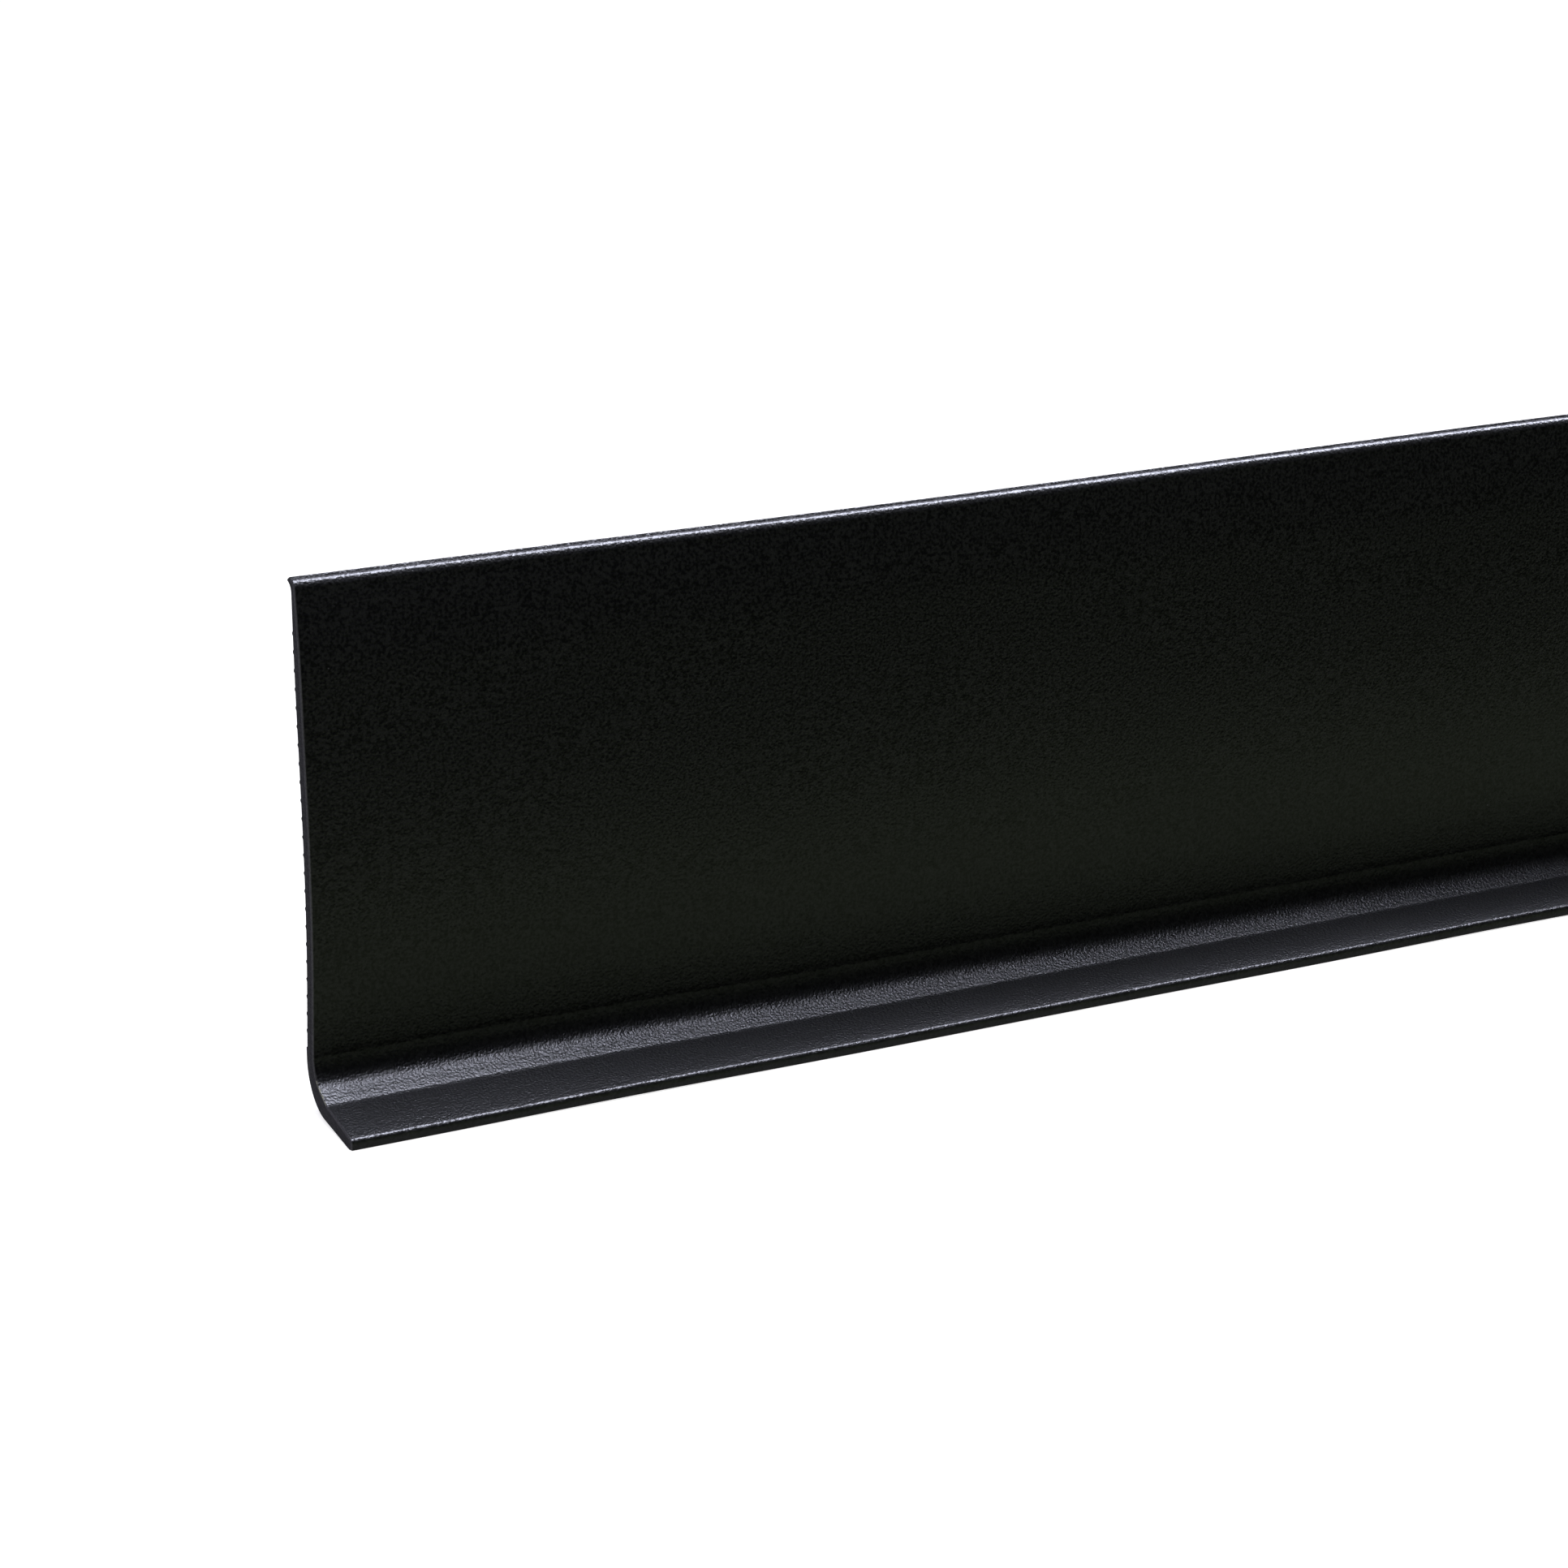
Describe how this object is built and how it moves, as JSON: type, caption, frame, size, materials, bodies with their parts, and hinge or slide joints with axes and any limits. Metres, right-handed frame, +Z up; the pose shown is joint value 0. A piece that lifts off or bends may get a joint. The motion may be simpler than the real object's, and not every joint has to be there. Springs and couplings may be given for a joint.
{
  "type": "vinyl wall base strip",
  "caption": "Straight strip of black coved vinyl wall base: thin upright web with a lip, curved cove and toe, ribbed back with adhesive bands under peel-off liners.",
  "frame": {"origin": "the corner of the wall plane and the floor plane, at the middle of the strip's length", "axes": "+X along the strip, +Y towards the wall, so the face that is seen looks along -Y, +Z up"},
  "size_m": [1.2192, 0.0219, 0.1016],
  "materials": {
    "vinyl": "satin, fine pebbled surface",
    "adhesive": "gloss, tacky",
    "release_paper": "satin, silicone coated"
  },
  "bodies": {
    "strip": {"base_strip": "vinyl", "lower_adhesive_band": "adhesive", "upper_adhesive_band": "adhesive"},
    "lower_liner": {"lower_release_liner": "release_paper"},
    "upper_liner": {"upper_release_liner": "release_paper"}
  },
  "joints": [
    {"name": "lower_liner_peel", "type": "slide", "parent": "strip", "child": "lower_liner", "axis": [0, 1, 0], "range_m": [0, 0.05]},
    {"name": "upper_liner_peel", "type": "slide", "parent": "strip", "child": "upper_liner", "axis": [0, 1, 0], "range_m": [0, 0.05]}
  ]
}
